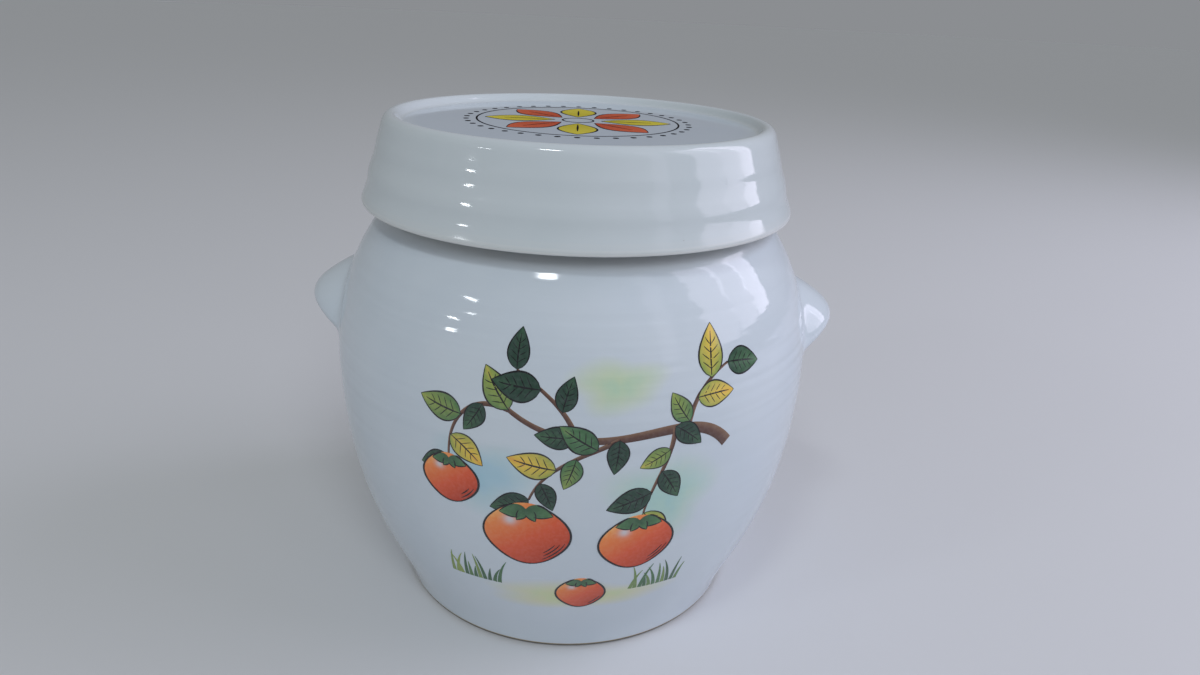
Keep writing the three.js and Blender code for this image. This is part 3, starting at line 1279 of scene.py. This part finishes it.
class Stencil:
    """Flat artwork of sheets and strokes in the XZ plane, whose points carry a tone and a cover."""

    WELD = 1e-8

    def __init__(self) -> None:
        """Start with nothing drawn."""
        self.points: list[tuple[float, float, float]] = []
        self.faces: list[list[int]] = []
        self.tone: list[float] = []
        self.cover: list[float] = []
        self.stack: list[float] = []

    def sheet(
        self,
        rows: Sequence[Sequence[Point]],
        tone: Shade,
        cover: Shade = steady(1.0),
        stack: int = 0,
    ) -> None:
        """Add a sheet between rows of points, with triangles where they close to a point.

        Args:
            rows: The points.
            tone: Tone by the share along the rows and across them.
            cover: How densely the colour covers, in the same way.
            stack: Its place among sheets that overlap, 0 for the lowest.
        """
        places: dict[tuple[int, int], int] = {}

        def corner(i: int, j: int) -> int:
            """Place of a corner among the points, where it is added if it is new.

            Args:
                i, j: Its row and its place in the row.

            Returns:
                Its index.
            """
            x, z = rows[i][j]
            key = round(x / self.WELD), round(z / self.WELD)
            if key not in places:
                along, across = i / (len(rows) - 1), j / (len(rows[i]) - 1)
                places[key] = len(self.points)
                self.points.append((x, 0.0, z))
                self.tone.append(tone(along, across))
                self.cover.append(cover(along, across))
                self.stack.append(float(stack))
            return places[key]

        for i in range(len(rows) - 1):
            for j in range(len(rows[i]) - 1):
                ring = [corner(i, j), corner(i + 1, j), corner(i + 1, j + 1), corner(i, j + 1)]
                ring = list(dict.fromkeys(ring))
                if len(ring) > 2:
                    self.faces.append(ring if self._turns_left(ring) else ring[::-1])

    def _turns_left(self, ring: Sequence[int]) -> bool:
        """Tell whether a face runs anticlockwise, so that it faces the viewer.

        Args:
            ring: The face's points.

        Returns:
            True if it does.
        """
        corners = [self.points[i] for i in ring]
        pairs = zip(corners, corners[1:] + corners[:1])
        return sum(a[0] * b[2] - b[0] * a[2] for a, b in pairs) > 0

    def stroke(self, path: Sequence[Point], width: Reach, tone: float = 0.3, stack: int = 0) -> None:
        """Add a brush stroke along a path.

        Args:
            path: The middle of the stroke.
            width: Its width, by the share of the way along it.
            tone: Its tone.
            stack: As for a sheet.
        """
        left = offset(path, lambda share: -width(share) / 2)
        right = offset(path, lambda share: width(share) / 2)
        self.sheet(list(zip(left, right)), steady(tone), stack=stack)

    def disc(
        self,
        centre: Point,
        edge: Rim,
        steps: tuple[int, int],
        tone: Shade,
        cover: Shade = steady(1.0),
    ) -> None:
        """Add a round sheet.

        Args:
            centre: Its middle.
            edge: Its edge by angle, from the middle.
            steps: Number of rings and of spokes.
            tone, cover: By the share from the middle to the edge and the share round it.
        """
        rings, spokes = steps
        turns = [edge(math.tau * (j % spokes) / spokes) for j in range(spokes + 1)]
        rows = [[(centre[0] + x * i / rings, centre[1] + z * i / rings) for x, z in turns]
                for i in range(rings + 1)]
        self.sheet(rows, tone, cover)

    def as_object(self, name: str) -> bpy.types.Object:
        """Make an object of the artwork.

        Args:
            name: Name of the object.

        Returns:
            The flat object, whose points carry their tone and cover.
        """
        marks = {"tone": self.tone, "cover": self.cover}
        if any(self.stack):
            marks["stack"] = self.stack
        return flat_object(name, self.points, [], self.faces, marks)


@dataclass(frozen=True)
class LeafForm:
    """A leaf or petal that lies along +X, broad near its foot and pointed."""

    length: float
    half_width: float
    curl: float = 0.1
    belly: float = 0.75
    steps: int = 14
    rib: Point = (-0.03, 0.85)

    ACROSS = 8
    FULLNESS = 0.9
    VEINS_FROM = 0.16
    VEINS_RUN = 0.6
    VEIN_CLIMB = 0.14
    VEIN_REACH = 0.72
    VEIN_STEPS = 4

    def middle(self, share: float) -> Point:
        """A point of the midrib."""
        return self.length * share, self.curl * self.length * share * (1 - share)

    def point(self, share: float, side: float) -> Point:
        """Find a point between the edges.

        Args:
            share: The share of the way to the tip.
            side: The place across, from -1 to 1 at the edges.

        Returns:
            The point.
        """
        x, z = self.middle(share)
        swell = math.sin(math.pi * min(max(share, 0.0), 1.0) ** self.belly)
        return x, z + side * self.half_width * max(swell, 0.0) ** self.FULLNESS

    def fill(self, tone: Shade) -> Stencil:
        """Draw the leaf as a sheet of colour.

        Args:
            tone: Its tone along and across.

        Returns:
            The artwork.
        """
        rows = [[self.point(i / self.steps, 2 * j / self.ACROSS - 1) for j in range(self.ACROSS + 1)]
                for i in range(self.steps + 1)]
        art = Stencil()
        art.sheet(rows, tone)
        return art

    def lines(self, width: float, veins: int) -> Stencil:
        """Draw the leaf's edges, midrib and side veins in ink.

        Args:
            width: Width of the edges at their middle.
            veins: Number of veins on either side.

        Returns:
            The artwork.
        """
        art = Stencil()
        shares = [i / self.steps for i in range(self.steps + 1)]
        for side in (-1, 1):
            art.stroke([self.point(share, side) for share in shares], brushed(width))
            for i in range(veins):
                foot = self.VEINS_FROM + self.VEINS_RUN * i / veins
                vein = [self.point(foot + self.VEIN_CLIMB * step / self.VEIN_STEPS,
                                   side * self.VEIN_REACH * step / self.VEIN_STEPS)
                        for step in range(self.VEIN_STEPS + 1)]
                art.stroke(vein, brushed(width * 0.6))
        start, end = self.rib
        art.stroke([self.middle(start + (end - start) * share) for share in shares], brushed(width * 1.1))
        return art


@dataclass
class PaintedPiece:
    """One fired colour of the decoration."""

    name: str
    enamel: Enamel
    lift: float
    film: FiredFilm
    surface: bpy.types.Object
    middle: Point
    body: str
    slot: str
    wrap_radius: float = 1.0
    sink: float = 0.01 * MM

    def fire(
        self,
        art: bpy.types.Object,
        tree: ShapeTree | None = None,
        values: Mapping[str, Any] | None = None,
    ) -> None:
        """Lay the artwork on its surface.

        Args:
            art: Flat artwork, or what the tree makes it from.
            tree: A tree that repeats or spreads the artwork first.
            values: That tree's inputs.
        """
        art.name = self.name
        material = self.enamel.material()
        if tree:
            tree.apply_to(art, {**(values or {}), "Material": material})
        self.film.apply_to(art, {
            "Surface": self.surface,
            "Wrap radius": self.wrap_radius,
            "Middle across": self.middle[0],
            "Middle up": self.middle[1],
            "Lift": self.lift,
            "Sink": self.sink,
            "Material": material,
        })
        settle(art)
        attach(art, self.body)


def drawn(controls: Sequence[Point], steps: int) -> list[Point]:
    """Points of a curve that is given in millimetres."""
    return bezier([(x * MM, z * MM) for x, z in controls], steps)


@dataclass(frozen=True)
class Wash:
    """A soft cloud of pale colour with a wavy edge, in millimetres."""

    x: float
    z: float
    width: float
    height: float
    tone: float
    tone_range: float = 0.25
    broad_wave: float = 0.12
    fine_wave: float = 0.07
    density: float = 0.8
    fade: float = 1.5
    steps: tuple[int, int] = (30, 140)

    def edge(self, angle: float) -> Point:
        """Find a point of the edge.

        Args:
            angle: The angle round the middle.

        Returns:
            The point, from the middle.
        """
        broad = self.broad_wave * math.sin(3 * angle + self.x)
        swell = 1 + broad + self.fine_wave * math.sin(5 * angle + self.z)
        return self.width * swell * math.cos(angle) * MM, self.height * swell * math.sin(angle) * MM

    def draw(self, art: Stencil) -> None:
        """Add the cloud, densest in its middle.

        Args:
            art: The artwork.
        """
        art.disc(
            (self.x * MM, self.z * MM),
            self.edge,
            self.steps,
            lambda along, across: self.tone + self.tone_range * (along - 0.5),
            lambda along, across: self.density * (1 - along * along) ** self.fade,
        )


@dataclass(frozen=True)
class Fruit:
    """A squat, slightly square fruit with four sepals, in millimetres.

    Each contour is given by the angle where it starts and how far it turns, and each sepal by its
    angle and its share of the full size.
    """

    x: float
    z: float
    radius: float
    squat: float = 0.88
    squareness: float = 0.03
    rings_per_radius: float = 1.8
    spokes: int = 90
    lit_side: float = math.radians(130)
    ripeness: float = 0.45
    ripeness_range: float = 0.42
    glint: float = 0.6
    glint_size: float = 0.16
    glint_strength: float = 0.85
    sepals: tuple[Point, ...] = ((-0.35, 1.0), (-2.8, 1.0), (-1.15, 0.8), (-2.0, 0.8))
    sepal_foot: float = 0.74
    sepal_length: float = 0.66
    sepal_half_width: float = 0.19
    sepal_tilt: float = 0.7
    sepal_sides: tuple[float, ...] = (-1.0, -0.5, 0.0, 0.5, 1.0)
    sepal_hidden_rows: int = 5
    sepal_ink: float = 0.9
    contours: tuple[Point, ...] = ((1.9, 3.2), (4.9, 2.7))
    contour_steps: int = 40
    contour_ink: float = 1.4
    hatch_gap: float = 1.4
    hatch_share: float = 4
    hatch_turn: float = -0.7
    hatch_span: float = 1.1
    hatch_steps: int = 16
    hatch_ink: float = 0.8

    def edge(self, angle: float, inset: float = 1.0) -> Point:
        """The edge at an angle, from the middle, or a line that is inset from it."""
        reach = self.radius * inset * (1 + self.squareness * math.cos(4 * angle)) * MM
        return reach * math.cos(angle), self.squat * reach * math.sin(angle)

    def draw_skin(self, art: Stencil) -> None:
        """Add the skin, paler towards its lit side, with a bare glint there.

        Args:
            art: The artwork.
        """
        steps = round(self.rings_per_radius * self.radius), self.spokes
        art.disc((self.x * MM, self.z * MM), self.edge, steps, self._tone, self._cover)

    def draw_sepals(self, art: Stencil) -> None:
        """Add the sepals, dark at their foot.

        Args:
            art: The artwork.
        """
        for stack, rows in enumerate(self._sepal_rows()):
            art.sheet(rows, lambda along, across: 0.12 + 0.3 * along, stack=stack % 2)

    def ink_skin(self, art: Stencil, width: float) -> None:
        """Add a broken outline, and hatching on the shaded side.

        Args:
            art: The artwork.
            width: Width of the ink.
        """
        for start, turn in self.contours:
            art.stroke(self._arc(start, turn, self.contour_steps), brushed(self.contour_ink * width))
        for line in range(1, round(self.radius / self.hatch_share)):
            inset = 1 - self.hatch_gap * line / self.radius
            span = self.hatch_span * inset * inset
            arc = self._arc(self.hatch_turn - span / 2, span, self.hatch_steps, inset)
            art.stroke(arc, brushed(self.hatch_ink * width))

    def ink_sepals(self, art: Stencil, width: float) -> None:
        """Add the edges of the sepals, where they stand clear of each other.

        Args:
            art: The artwork.
            width: Width of the ink.
        """
        for rows in self._sepal_rows():
            for side in (0, -1):
                path = [row[side] for row in rows[self.sepal_hidden_rows:]]
                art.stroke(path, brushed(self.sepal_ink * width))

    def _tone(self, along: float, across: float) -> float:
        """Tone of the skin."""
        return self.ripeness + self.ripeness_range * along * math.cos(math.tau * across - self.lit_side)

    def _cover(self, along: float, across: float) -> float:
        """Find how densely the colour covers the glaze.

        Args:
            along: The share from the middle to the edge.
            across: The share round the fruit.

        Returns:
            The cover, which thins at the glint.
        """
        facing = math.cos(math.tau * across - self.lit_side)
        apart = along * along + self.glint * self.glint - 2 * along * self.glint * facing
        return 1 - self.glint_strength * math.exp(-apart / self.glint_size ** 2)

    def _arc(self, start: float, turn: float, steps: int, inset: float = 1.0) -> list[Point]:
        """Points along the edge, or along a line that is inset from it."""
        points = (self.edge(start + turn * i / steps, inset) for i in range(steps + 1))
        return [(self.x * MM + a, self.z * MM + b) for a, b in points]

    def _sepal_rows(self) -> Iterator[list[list[Point]]]:
        """Shape the sepals on top of the fruit.

        Returns:
            The rows of points of each sepal, one after another.
        """
        x, z = self.x * MM, (self.z + self.sepal_foot * self.radius) * MM
        for angle, size in self.sepals:
            length = self.sepal_length * size * self.radius * MM
            form = LeafForm(length, self.sepal_half_width * size * self.radius * MM)
            cosine, sine = math.cos(angle), self.sepal_tilt * math.sin(angle)
            rows = [[form.point(i / form.steps, side) for side in self.sepal_sides]
                    for i in range(form.steps + 1)]
            yield [[(x + a * cosine - b * sine, z + a * sine + b * cosine) for a, b in row] for row in rows]


@dataclass(frozen=True)
class Tuft:
    """A tuft of grass, in millimetres."""

    x: float
    z: float
    blades: int = 11
    gap: float = 2
    lean: float = 4
    heights: Point = (6, 13)
    bend: Point = (0.2, 0.6)
    tones: Point = (0.15, 0.6)
    foot_width: float = 1.7
    layers: int = 3
    steps: int = 12

    def draw(self, art: Stencil, chance: random.Random) -> None:
        """Add the blades.

        Args:
            art: The artwork.
            chance: Source of each blade's lean, height and tone.
        """
        for blade in range(self.blades):
            foot = self.x + self.gap * (blade - self.blades // 2)
            lean, height = chance.uniform(-self.lean, self.lean), chance.uniform(*self.heights)
            tone = chance.uniform(*self.tones)
            bend = foot + lean * self.bend[0], self.z + height * self.bend[1]
            tip = foot + lean, self.z + height
            path = drawn([(foot, self.z), bend, tip], self.steps)
            art.stroke(path, self._width, tone, blade % self.layers)

    def _width(self, share: float) -> float:
        """Width of a blade, which narrows to its tip."""
        return self.foot_width * MM * (1.05 - share) ** 0.8


@dataclass
class FruitBranch:
    """The painted front: a fruiting branch with leaves over soft washes.

    Its wood, fruits, washes and grass are drawn in millimetres from its middle.
    """

    wall: bpy.types.Object
    wrap_radius: float
    middle: Point = (2 * MM, 80 * MM)
    ink_width: float = 0.55 * MM
    bough: tuple[Point, ...] = ((54, 18), (36, 40), (10, 12), (-22, 34))
    bough_widths: Point = (4.4, 1.6)
    twigs: tuple[tuple[Point, ...], ...] = (
        ((-22, 34), (-34, 38), (-43, 30), (-43, 13)),
        ((0, 26), (-3, 36), (-12, 42), (-20, 47)),
        ((38, 29), (40, 38), (46, 43), (54, 46)),
        ((14, 25), (4, 20), (-10, 16), (-15, 2)),
        ((33, 28), (32, 14), (26, 8), (24, -4)),
    )
    twig_widths: Point = (1.9, 0.8)
    twig_steps: int = 12
    wood_sides: tuple[float, ...] = (-1, -0.33, 0.33, 1)
    wood_steps: int = 90
    leaf: LeafForm = LeafForm(15 * MM, 4.4 * MM)
    leaf_veins: int = 4
    leaf_spacing: float = 7.5 * MM
    leaf_spread: float = math.radians(48)
    leaf_sizes: Point = (0.75, 1.15)
    leaf_hues: float = 0.42
    leaf_seed: int = 11
    fruits: tuple[Fruit, ...] = (
        Fruit(-16, -13, 15),
        Fruit(23, -17, 13.5),
        Fruit(-43, 5, 10.5),
        Fruit(4, -42, 9.5),
    )
    washes: tuple[Wash, ...] = (
        Wash(-31, 9, 22, 16, 0.05),
        Wash(31, 1, 23, 19, 0.35),
        Wash(2, -44, 42, 9, 0.8),
        Wash(13, 43, 18, 10, 0.6),
    )
    tufts: tuple[Tuft, ...] = (Tuft(-38, -40), Tuft(34, -42))
    grass_seed: int = 5

    def dress(self, film: FiredFilm, spray: LeafSpray) -> None:
        """Paint the front.

        Args:
            film: The tree for films on the wall.
            spray: The tree that sets leaves along twigs.
        """
        self._piece("print_wash", WASH, 0.02, film).fire(self._wash().as_object("wash"))
        self._piece("print_branch", BARK, 0.035, film).fire(self._wood().as_object("wood"))
        green = self.leaf.fill(lambda along, across: 0.3 + 0.22 * along - 0.12 * abs(2 * across - 1))
        self._leaves(self._piece("print_leaves", LEAF, 0.05, film), spray, green)
        veins = self.leaf.lines(self.ink_width, self.leaf_veins)
        self._leaves(self._piece("print_leaf_ink", INK, 0.056, film), spray, veins)
        self._piece("print_grass", LEAF, 0.05, film).fire(self._grass().as_object("grass"))
        self._piece("print_fruit", FRUIT, 0.11, film).fire(self._fruit().as_object("fruit"))
        self._piece("print_calyx", LEAF, 0.14, film).fire(self._calyx().as_object("calyx"))
        self._piece("print_ink", INK, 0.175, film).fire(self._ink().as_object("ink"))

    def _piece(self, name: str, enamel: Enamel, lift: float, film: FiredFilm) -> PaintedPiece:
        """One colour of the front, with its lift in millimetres."""
        return PaintedPiece(name, enamel, lift * MM, film, self.wall, self.middle, "jar", "jar_glaze",
                            self.wrap_radius)

    def _leaves(self, piece: PaintedPiece, spray: LeafSpray, pattern: Stencil) -> None:
        """Fire one colour of all the leaves.

        Args:
            piece: The colour.
            spray: The tree that sets leaves along twigs.
            pattern: One leaf in that colour.
        """
        points: list[tuple[float, float, float]] = []
        edges: list[tuple[int, int]] = []
        for twig in self.twigs:
            path = drawn(twig, self.twig_steps)
            edges.extend((len(points) + i, len(points) + i + 1) for i in range(len(path) - 1))
            points.extend((x, 0.0, z) for x, z in path)
        leaf = pattern.as_object("leaf")
        smallest, largest = self.leaf_sizes
        piece.fire(flat_object(piece.name, points, edges, [], {}), spray, {
            "Leaf": leaf,
            "Spacing": self.leaf_spacing,
            "Spread": self.leaf_spread,
            "Smallest": smallest,
            "Largest": largest,
            "Hue range": self.leaf_hues,
            "Seed": self.leaf_seed,
        })
        discard(leaf)

    def _wash(self) -> Stencil:
        """Draw the soft clouds.

        Returns:
            The artwork.
        """
        art = Stencil()
        for wash in self.washes:
            wash.draw(art)
        return art

    def _wood(self) -> Stencil:
        """Draw the bough and its twigs, each thinner towards its end.

        Returns:
            The artwork.
        """
        art = Stencil()
        branches = [(self.bough, self.bough_widths)]
        branches += [(twig, self.twig_widths) for twig in self.twigs]
        for controls, (thick, thin) in branches:
            path = drawn(controls, self.wood_steps)
            edges = [offset(path, lambda share: side * (thick + (thin - thick) * share) / 2 * MM)
                     for side in self.wood_sides]
            art.sheet(list(zip(*edges)), lambda along, across: 0.2 + 0.6 * across)
        return art

    def _grass(self) -> Stencil:
        """Draw the tufts of grass.

        Returns:
            The artwork.
        """
        art = Stencil()
        chance = random.Random(self.grass_seed)
        for tuft in self.tufts:
            tuft.draw(art, chance)
        return art

    def _fruit(self) -> Stencil:
        """Draw the fruits.

        Returns:
            The artwork.
        """
        art = Stencil()
        for fruit in self.fruits:
            fruit.draw_skin(art)
        return art

    def _calyx(self) -> Stencil:
        """Draw the sepals of all the fruits.

        Returns:
            The artwork.
        """
        art = Stencil()
        for fruit in self.fruits:
            fruit.draw_sepals(art)
        return art

    def _ink(self) -> Stencil:
        """Draw the ink lines of all the fruits and their sepals.

        Returns:
            The artwork.
        """
        art = Stencil()
        for fruit in self.fruits:
            fruit.ink_skin(art, self.ink_width)
        for fruit in self.fruits:
            fruit.ink_sepals(art, self.ink_width)
        return art


@dataclass
class LidRosette:
    """The painted top: a rosette of yellow and red petals with fine rings."""

    lid: bpy.types.Object
    middle: Point = (-1 * MM, 5 * MM)
    petals: int = 4
    petal_foot: float = 9 * MM
    petal: LeafForm = LeafForm(27 * MM, 7.2 * MM, 0.0, 1.1, 22, (0.12, 0.72))
    heart: float = 6 * MM
    ring: float = 39 * MM
    bead: float = 1.1 * MM
    bead_ring: float = 43 * MM
    beads: int = 40
    ink_width: float = 0.7 * MM

    def dress(self, film: FiredFilm, wreath: Wreath) -> None:
        """Paint the top.

        Args:
            film: The tree for films on the level top.
            wreath: The tree that sets copies in a ring.
        """
        turn = math.pi / self.petals
        fill = self.petal.fill(lambda along, across: 0.15 + 0.85 * along)
        colours = (("lid_petals_yellow", LID_YELLOW, 0.0), ("lid_petals_red", LID_RED, turn))
        for lift, (name, enamel, start) in enumerate(colours):
            piece = self._piece(name, enamel, 0.04 + 0.02 * lift, film)
            piece.fire(fill.as_object(name), wreath, self._ring(self.petals, self.petal_foot, start))
        lines = self.petal.lines(self.ink_width, 0)
        piece = self._piece("lid_petal_ink", LID_INK, 0.08, film)
        piece.fire(lines.as_object("lines"), wreath, self._ring(2 * self.petals, self.petal_foot, 0.0))
        bead = Stencil()
        bead.disc((0.0, 0.0), self._circle(self.bead), (2, 16), steady(0.3))
        piece = self._piece("lid_beads", LID_INK, 0.06, film)
        piece.fire(bead.as_object("bead"), wreath, self._ring(self.beads, self.bead_ring, 0.0))
        rings = Stencil()
        steps = 120
        for radius in (self.heart, self.ring):
            edge = self._circle(radius)
            rings.stroke([edge(math.tau * i / steps) for i in range(steps + 1)], lambda share: self.ink_width)
        self._piece("lid_rings", LID_INK, 0.06, film).fire(rings.as_object("rings"))

    def _piece(self, name: str, enamel: Enamel, lift: float, film: FiredFilm) -> PaintedPiece:
        """One colour of the top, with its lift in millimetres."""
        return PaintedPiece(name, enamel, lift * MM, film, self.lid, self.middle, "lid", "lid_glaze")

    @staticmethod
    def _ring(count: int, radius: float, start: float) -> dict[str, float]:
        """Inputs of a wreath."""
        return {"Count": count, "Radius": radius, "Start angle": start}

    @staticmethod
    def _circle(radius: float) -> Rim:
        """Edge of a circle by angle."""
        return lambda angle: (radius * math.cos(angle), radius * math.sin(angle))


class LampFace(Enum):
    """Shapes of a lamp's face."""

    PANE = "RECTANGLE"
    ROUND = "ELLIPSE"

    @property
    def share(self) -> float:
        """How much of its width times height the face fills."""
        return 1.0 if self is LampFace.PANE else math.pi / 4


@dataclass(frozen=True)
class Lamp:
    """A soft lamp that faces the jar.

    It hangs at an azimuth from +X and an elevation, in degrees. A radiance of 1 makes its face white.
    """

    name: str
    azimuth: float
    elevation: float
    size: Point
    radiance: float
    face: LampFace = LampFace.PANE

    @property
    def power(self) -> float:
        """The power that gives its face that radiance."""
        width, height = self.size
        return self.radiance * math.pi * width * height * self.face.share


@dataclass
class Studio:
    """Pale floor, soft light and the camera."""

    lens: float = 24.44
    sensor: float = 36.0
    camera_place: Point = (-319.95 * MM, 233.86 * MM)
    yaw: float = math.radians(2.02)
    pitch: float = math.radians(22.448)
    roll: float = math.radians(2.681)
    floor_radius: float = 12.0
    floor_sides: int = 96
    floor_colour: Colour = srgb(210, 213, 217)
    floor_roughness: float = 0.55
    sky_colour: Colour = (1.0, 0.995, 0.98)
    day_colour: Colour = (0.92, 0.965, 1.0)
    pane_colour: Colour = (0.87, 0.83, 1.0)
    sky_strength: float = 0.275
    backdrop_colour: Colour = (0.912, 0.947, 1.0)
    backdrop_strength: float = 0.284
    key_strength: float = 0.70
    key_azimuth: float = -72
    key_elevation: float = 40
    key_softness: float = math.radians(22)
    lamps: tuple[Lamp, ...] = (
        Lamp("faint pane", -46, 29, (0.22, 1.3), 0.55),
        Lamp("wide pane", -15, 29, (0.46, 1.3), 1.85),
        Lamp("middle pane", 1, 29, (0.38, 1.3), 2.3),
        Lamp("bright pane", 13.5, 29, (0.29, 1.3), 3.5),
        Lamp("ceiling lamp", -111, 54.5, (0.27, 0.12), 34.0, LampFace.ROUND),
        Lamp("left lamp", -148.5, 17.5, (0.15, 0.06), 26.0, LampFace.ROUND),
        Lamp("high left lamp", -145, 30, (0.2, 0.05), 23.0, LampFace.ROUND),
    )
    aim: Vector = field(default_factory=lambda: Vector((0.0, 0.0, 0.13)))
    distance: float = 1.5

    def build(self) -> None:
        """Set the stage."""
        self._camera()
        self._floor()
        self._sky()
        self._key()
        for lamp in self.lamps:
            self._lamp(lamp)
        bpy.context.scene.view_settings.view_transform = "Standard"

    def _camera(self) -> None:
        """Place the camera at the photograph's viewing angle."""
        data = bpy.data.cameras.new("camera")
        data.sensor_width = self.sensor
        data.lens = self.lens
        camera = bpy.data.objects.new("camera", data)
        level = math.cos(self.pitch)
        forward = Vector((math.sin(self.yaw) * level, math.cos(self.yaw) * level, -math.sin(self.pitch)))
        right = Vector((math.cos(self.yaw), -math.sin(self.yaw), 0.0))
        up = right.cross(forward)
        right_rolled = right * math.cos(self.roll) + up * math.sin(self.roll)
        up_rolled = up * math.cos(self.roll) - right * math.sin(self.roll)
        turn = Matrix((right_rolled, up_rolled, -forward)).transposed()
        camera.matrix_world = Matrix.Translation((0.0, *self.camera_place)) @ turn.to_4x4()
        bpy.context.scene.collection.objects.link(camera)
        bpy.context.scene.camera = camera

    def _floor(self) -> None:
        """Lay a plain pale floor."""
        angles = [math.tau * i / self.floor_sides for i in range(self.floor_sides)]
        ring = [(self.floor_radius * math.cos(angle), self.floor_radius * math.sin(angle), 0.0)
                for angle in angles]
        floor = flat_object("floor", ring, [], [list(range(self.floor_sides))], {})
        material = bpy.data.materials.new("pale floor")
        material.use_nodes = True
        graph = Graph(material.node_tree)
        graph.tree.nodes.clear()
        sockets = {"Base Color": (*self.floor_colour, 1.0), "Roughness": self.floor_roughness}
        shader = graph.field("ShaderNodeBsdfPrincipled", None, sockets)
        graph.add("ShaderNodeOutputMaterial", None, {"Surface": shader})
        floor.data.materials.append(material)

    def _sky(self) -> None:
        """Light the scene evenly from all round, with a backdrop about as bright as the floor."""
        world = bpy.data.worlds.new("studio")
        world.use_nodes = True
        graph = Graph(world.node_tree)
        graph.tree.nodes.clear()
        looks = (self.sky_colour, self.sky_strength), (self.backdrop_colour, self.backdrop_strength)
        light, backdrop = (
            graph.field("ShaderNodeBackground", None, {"Color": (*colour, 1.0), "Strength": strength})
            for colour, strength in looks
        )
        path = graph.add("ShaderNodeLightPath")
        seen = Field(graph, path.outputs["Is Camera Ray"]) + Field(graph, path.outputs["Is Glossy Ray"])
        mixed = graph.field("ShaderNodeMixShader", None, {0: seen.clamped(), 1: light, 2: backdrop})
        graph.add("ShaderNodeOutputWorld", None, {"Surface": mixed})
        bpy.context.scene.world = world

    def _lamp(self, lamp: Lamp) -> None:
        """Hang a soft lamp.

        Args:
            lamp: The lamp.
        """
        data = bpy.data.lights.new(lamp.name, "AREA")
        data.shape = lamp.face.value
        data.size, data.size_y = lamp.size
        data.energy = lamp.power
        data.color = self.pane_colour if lamp.face is LampFace.PANE else self.day_colour
        self._hang(data, lamp.azimuth, lamp.elevation)

    def _key(self) -> None:
        """Light the front evenly from above, by a wide source that leaves no reflection."""
        data = bpy.data.lights.new("key", "SUN")
        data.energy = self.key_strength
        data.angle = self.key_softness
        data.color = self.day_colour
        self._hang(data, self.key_azimuth, self.key_elevation).visible_glossy = False

    def _hang(self, data: bpy.types.Light, azimuth: float, elevation: float) -> bpy.types.Object:
        """Hang a light where it faces the jar, out of the camera's sight.

        Args:
            data: The light.
            azimuth, elevation: Where it hangs, in degrees.

        Returns:
            The light's object.
        """
        lamp = bpy.data.objects.new(data.name, data)
        turn, tilt = math.radians(azimuth), math.radians(elevation)
        towards = Vector((math.cos(turn) * math.cos(tilt), math.sin(turn) * math.cos(tilt), math.sin(tilt)))
        lamp.location = self.aim + towards * self.distance
        lamp.rotation_euler = towards.to_track_quat("Z", "Y").to_euler()
        lamp.visible_camera = False
        bpy.context.scene.collection.objects.link(lamp)
        return lamp


def main() -> None:
    """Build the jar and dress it."""
    logging.basicConfig(level=logging.INFO, format="%(name)s: %(message)s")
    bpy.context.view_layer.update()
    Studio().build()
    ware = TurnedWare()
    body = JarBody.from_frame()
    shell = body.build(ware)
    lid = CapLid.from_frame().build(ware)
    FruitBranch(shell, body.belly_radius).dress(FiredFilm(Ground.WALL), LeafSpray())
    LidRosette(lid).dress(FiredFilm(Ground.TOP), Wreath())


if __name__ == "__main__":
    main()
